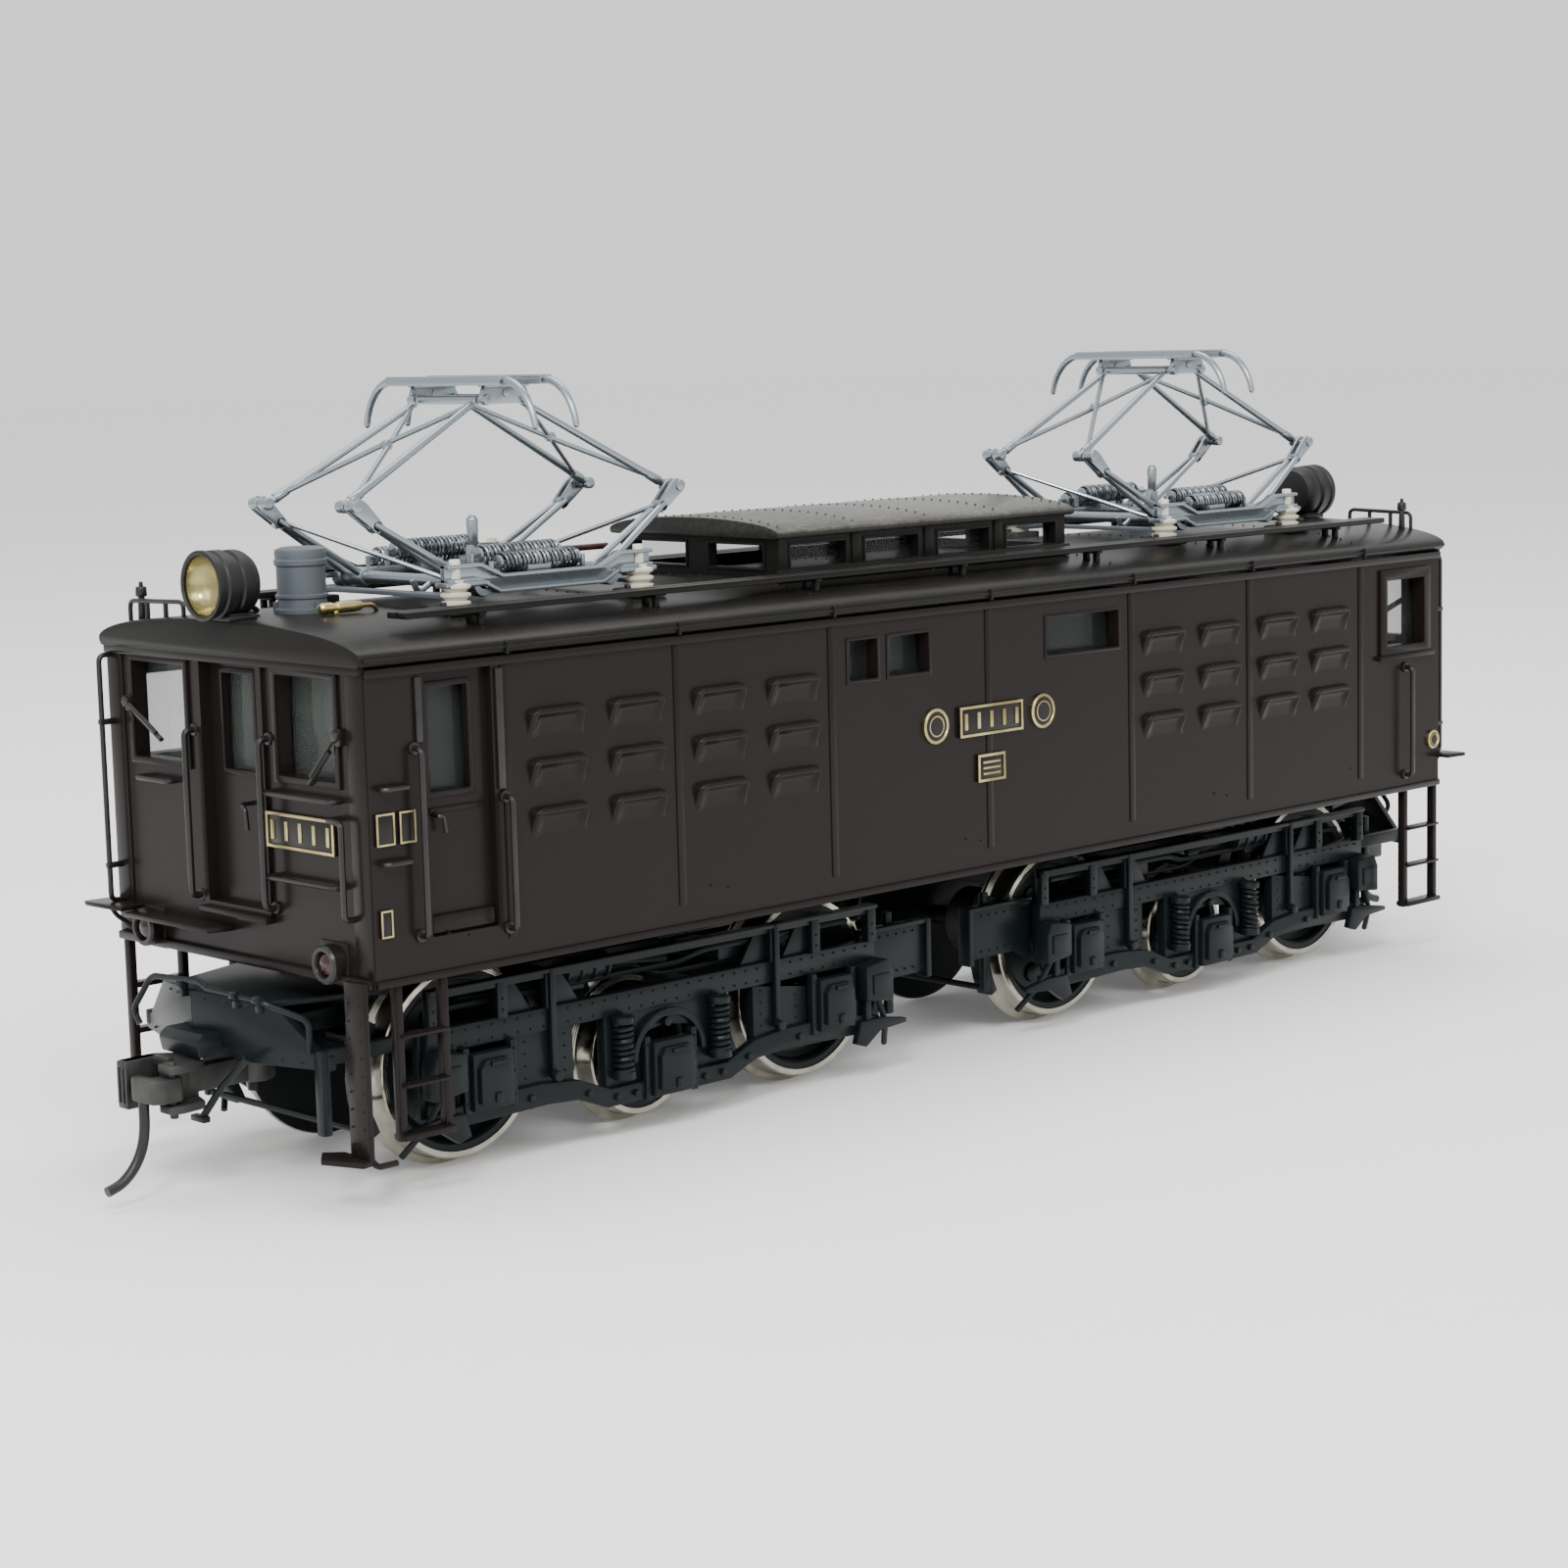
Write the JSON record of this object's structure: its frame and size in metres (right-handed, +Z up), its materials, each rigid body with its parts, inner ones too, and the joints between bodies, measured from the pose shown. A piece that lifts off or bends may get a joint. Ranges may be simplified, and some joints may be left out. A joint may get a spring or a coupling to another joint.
{
  "type": "model electric locomotive",
  "caption": "Small scale model of a box-bodied electric locomotive with raised diamond pantographs, louvred sides, pivoting bogies and knuckle couplers.",
  "frame": {"origin": "centre of the footprint at the level of the wheel flanges' lowest points", "axes": "+X along the rails towards the rear end, +Y to the left side, +Z up"},
  "size_m": [0.1626, 0.0354, 0.0621],
  "materials": {
    "body_paint": "satin grape brown paint",
    "roof_paint": "satin dark grey paint",
    "frame_paint": "satin slate black paint",
    "wheel_metal": "turned nickel-plated metal",
    "motor_steel": "plain steel",
    "brass": "bare turned brass",
    "panto_silver": "silver-grey satin paint",
    "arrester_grey": "blue-grey satin paint",
    "window_glass": "clear pane, faint green",
    "lens_glass": "clear lens over a gold reflector",
    "coupler_metal": "dark grey cast metal",
    "shaft_plastic": "black moulded plastic"
  },
  "bodies": {
    "body": {"body_side_right": "body_paint", "body_side_left": "body_paint", "body_end_front": "body_paint", "body_end_rear": "body_paint", "roof_panel": "roof_paint", "chassis_floor": "frame_paint", "side_glazing_right": "window_glass", "side_glazing_left": "window_glass", "end_glazing_front": "window_glass", "end_glazing_rear": "window_glass", "cab_ladder_front": "body_paint", "cab_ladder_rear": "body_paint", "corner_ladder_right": "body_paint", "corner_ladder_left": "body_paint", "roof_walk_right": "roof_paint", "roof_walk_left": "roof_paint", "roof_monitor": "roof_paint", "headlight_front": "roof_paint", "headlight_rear": "roof_paint", "headlight_lens_front": "lens_glass", "headlight_lens_rear": "lens_glass", "lightning_arrester": "arrester_grey", "air_whistle": "brass", "motor_case": "motor_steel", "panto_base_front": "panto_silver", "panto_base_rear": "panto_silver"},
    "rotor": {"motor_rotor": "motor_steel", "drive_shaft_front": "shaft_plastic", "drive_shaft_rear": "shaft_plastic"},
    "bogie_front": {"bogie_frame_front": "frame_paint", "side_frame_front_right": "frame_paint", "side_frame_front_left": "frame_paint", "pilot_front": "frame_paint"},
    "wheelset_front_outer": {"wheelset_front_outer": "wheel_metal"},
    "wheelset_front_middle": {"wheelset_front_middle": "wheel_metal"},
    "wheelset_front_inner": {"wheelset_front_inner": "wheel_metal"},
    "worm_shaft_front": {"worm_shaft_front": "brass"},
    "coupler_front": {"coupler_front": "coupler_metal"},
    "coupler_knuckle_front": {"coupler_knuckle_front": "coupler_metal"},
    "panto_lower_a_front": {"panto_lower_a_front": "panto_silver"},
    "panto_upper_a_front": {"panto_upper_a_front": "panto_silver"},
    "panto_lower_b_front": {"panto_lower_b_front": "panto_silver"},
    "panto_upper_b_front": {"panto_upper_b_front": "panto_silver"},
    "panto_head_front": {"panto_head_front": "panto_silver"},
    "bogie_rear": {"bogie_frame_rear": "frame_paint", "side_frame_rear_right": "frame_paint", "side_frame_rear_left": "frame_paint", "pilot_rear": "frame_paint"},
    "wheelset_rear_outer": {"wheelset_rear_outer": "wheel_metal"},
    "wheelset_rear_middle": {"wheelset_rear_middle": "wheel_metal"},
    "wheelset_rear_inner": {"wheelset_rear_inner": "wheel_metal"},
    "worm_shaft_rear": {"worm_shaft_rear": "brass"},
    "coupler_rear": {"coupler_rear": "coupler_metal"},
    "coupler_knuckle_rear": {"coupler_knuckle_rear": "coupler_metal"},
    "panto_lower_a_rear": {"panto_lower_a_rear": "panto_silver"},
    "panto_upper_a_rear": {"panto_upper_a_rear": "panto_silver"},
    "panto_lower_b_rear": {"panto_lower_b_rear": "panto_silver"},
    "panto_upper_b_rear": {"panto_upper_b_rear": "panto_silver"},
    "panto_head_rear": {"panto_head_rear": "panto_silver"}
  },
  "joints": [
    {"name": "rotor_spin", "type": "hinge", "parent": "body", "child": "rotor", "pos_m": [0, 0, 0.026], "axis": [1, 0, 0], "continuous": true},
    {"name": "bogie_swivel_front", "type": "hinge", "parent": "body", "child": "bogie_front", "pos_m": [-0.0353, 0, 0.013], "axis": [0, 0, 1], "range_deg": [-5, 5]},
    {"name": "wheel_spin_front_outer", "type": "hinge", "parent": "bogie_front", "child": "wheelset_front_outer", "pos_m": [-0.0542, 0, 0.0086], "axis": [0, 1, 0], "continuous": true},
    {"name": "wheel_spin_front_middle", "type": "hinge", "parent": "bogie_front", "child": "wheelset_front_middle", "pos_m": [-0.0353, 0, 0.0062], "axis": [0, 1, 0], "continuous": true},
    {"name": "wheel_spin_front_inner", "type": "hinge", "parent": "bogie_front", "child": "wheelset_front_inner", "pos_m": [-0.0164, 0, 0.0086], "axis": [0, 1, 0], "continuous": true},
    {"name": "worm_spin_front", "type": "hinge", "parent": "bogie_front", "child": "worm_shaft_front", "pos_m": [-0.0353, 0, 0.026], "axis": [1, 0, 0], "continuous": true},
    {"name": "coupler_swing_front", "type": "hinge", "parent": "bogie_front", "child": "coupler_front", "pos_m": [-0.0669, 0, 0.009], "axis": [0, 0, 1], "range_deg": [-12, 12], "stiffness_Nm_per_rad": 0.0005},
    {"name": "knuckle_open_front", "type": "hinge", "parent": "coupler_front", "child": "coupler_knuckle_front", "pos_m": [-0.0757, -0.002, 0.009], "axis": [0, 0, 1], "range_deg": [0, 25], "stiffness_Nm_per_rad": 0.0002},
    {"name": "panto_fold_front", "type": "hinge", "parent": "body", "child": "panto_lower_a_front", "pos_m": [-0.0496, 0, 0.046], "axis": [0, -1, 0], "range_deg": [-12, 27]},
    {"name": "panto_knee_a_front", "type": "hinge", "parent": "panto_lower_a_front", "child": "panto_upper_a_front", "pos_m": [-0.0597, 0, 0.05248], "axis": [0, 1, 0], "range_deg": [-23, 50.5]},
    {"name": "panto_fold_b_front", "type": "hinge", "parent": "body", "child": "panto_lower_b_front", "pos_m": [-0.0364, 0, 0.046], "axis": [0, 1, 0], "range_deg": [-12, 27]},
    {"name": "panto_knee_b_front", "type": "hinge", "parent": "panto_lower_b_front", "child": "panto_upper_b_front", "pos_m": [-0.0263, 0, 0.05248], "axis": [0, -1, 0], "range_deg": [-23, 50.5]},
    {"name": "panto_head_tilt_front", "type": "hinge", "parent": "panto_upper_a_front", "child": "panto_head_front", "pos_m": [-0.045, 0, 0.0602], "axis": [0, -1, 0], "range_deg": [-11, 23.5]},
    {"name": "bogie_swivel_rear", "type": "hinge", "parent": "body", "child": "bogie_rear", "pos_m": [0.0353, 0, 0.013], "axis": [0, 0, 1], "range_deg": [-5, 5]},
    {"name": "wheel_spin_rear_outer", "type": "hinge", "parent": "bogie_rear", "child": "wheelset_rear_outer", "pos_m": [0.0542, 0, 0.0086], "axis": [0, 1, 0], "continuous": true},
    {"name": "wheel_spin_rear_middle", "type": "hinge", "parent": "bogie_rear", "child": "wheelset_rear_middle", "pos_m": [0.0353, 0, 0.0062], "axis": [0, 1, 0], "continuous": true},
    {"name": "wheel_spin_rear_inner", "type": "hinge", "parent": "bogie_rear", "child": "wheelset_rear_inner", "pos_m": [0.0164, 0, 0.0086], "axis": [0, 1, 0], "continuous": true},
    {"name": "worm_spin_rear", "type": "hinge", "parent": "bogie_rear", "child": "worm_shaft_rear", "pos_m": [0.0353, 0, 0.026], "axis": [1, 0, 0], "continuous": true},
    {"name": "coupler_swing_rear", "type": "hinge", "parent": "bogie_rear", "child": "coupler_rear", "pos_m": [0.0669, 0, 0.009], "axis": [0, 0, 1], "range_deg": [-12, 12], "stiffness_Nm_per_rad": 0.0005},
    {"name": "knuckle_open_rear", "type": "hinge", "parent": "coupler_rear", "child": "coupler_knuckle_rear", "pos_m": [0.0757, 0.002, 0.009], "axis": [0, 0, 1], "range_deg": [0, 25], "stiffness_Nm_per_rad": 0.0002},
    {"name": "panto_fold_rear", "type": "hinge", "parent": "body", "child": "panto_lower_a_rear", "pos_m": [0.0496, 0, 0.046], "axis": [0, 1, 0], "range_deg": [-12, 27]},
    {"name": "panto_knee_a_rear", "type": "hinge", "parent": "panto_lower_a_rear", "child": "panto_upper_a_rear", "pos_m": [0.0597, 0, 0.05248], "axis": [0, -1, 0], "range_deg": [-23, 50.5]},
    {"name": "panto_fold_b_rear", "type": "hinge", "parent": "body", "child": "panto_lower_b_rear", "pos_m": [0.0364, 0, 0.046], "axis": [0, -1, 0], "range_deg": [-12, 27]},
    {"name": "panto_knee_b_rear", "type": "hinge", "parent": "panto_lower_b_rear", "child": "panto_upper_b_rear", "pos_m": [0.0263, 0, 0.05248], "axis": [0, 1, 0], "range_deg": [-23, 50.5]},
    {"name": "panto_head_tilt_rear", "type": "hinge", "parent": "panto_upper_a_rear", "child": "panto_head_rear", "pos_m": [0.045, 0, 0.0602], "axis": [0, 1, 0], "range_deg": [-11, 23.5]}
  ],
  "couplings": [
    {"joint": "wheel_spin_front_outer", "follows": "rotor_spin", "ratio": 0.071429},
    {"joint": "wheel_spin_front_inner", "follows": "rotor_spin", "ratio": 0.071429},
    {"joint": "worm_spin_front", "follows": "rotor_spin", "ratio": 1},
    {"joint": "panto_knee_a_front", "follows": "panto_fold_front", "ratio": 1.844},
    {"joint": "panto_fold_b_front", "follows": "panto_fold_front", "ratio": 1},
    {"joint": "panto_knee_b_front", "follows": "panto_fold_front", "ratio": 1.844},
    {"joint": "panto_head_tilt_front", "follows": "panto_fold_front", "ratio": 0.844},
    {"joint": "wheel_spin_rear_outer", "follows": "rotor_spin", "ratio": 0.071429},
    {"joint": "wheel_spin_rear_inner", "follows": "rotor_spin", "ratio": 0.071429},
    {"joint": "worm_spin_rear", "follows": "rotor_spin", "ratio": 1},
    {"joint": "panto_knee_a_rear", "follows": "panto_fold_rear", "ratio": 1.844},
    {"joint": "panto_fold_b_rear", "follows": "panto_fold_rear", "ratio": 1},
    {"joint": "panto_knee_b_rear", "follows": "panto_fold_rear", "ratio": 1.844},
    {"joint": "panto_head_tilt_rear", "follows": "panto_fold_rear", "ratio": 0.844}
  ]
}
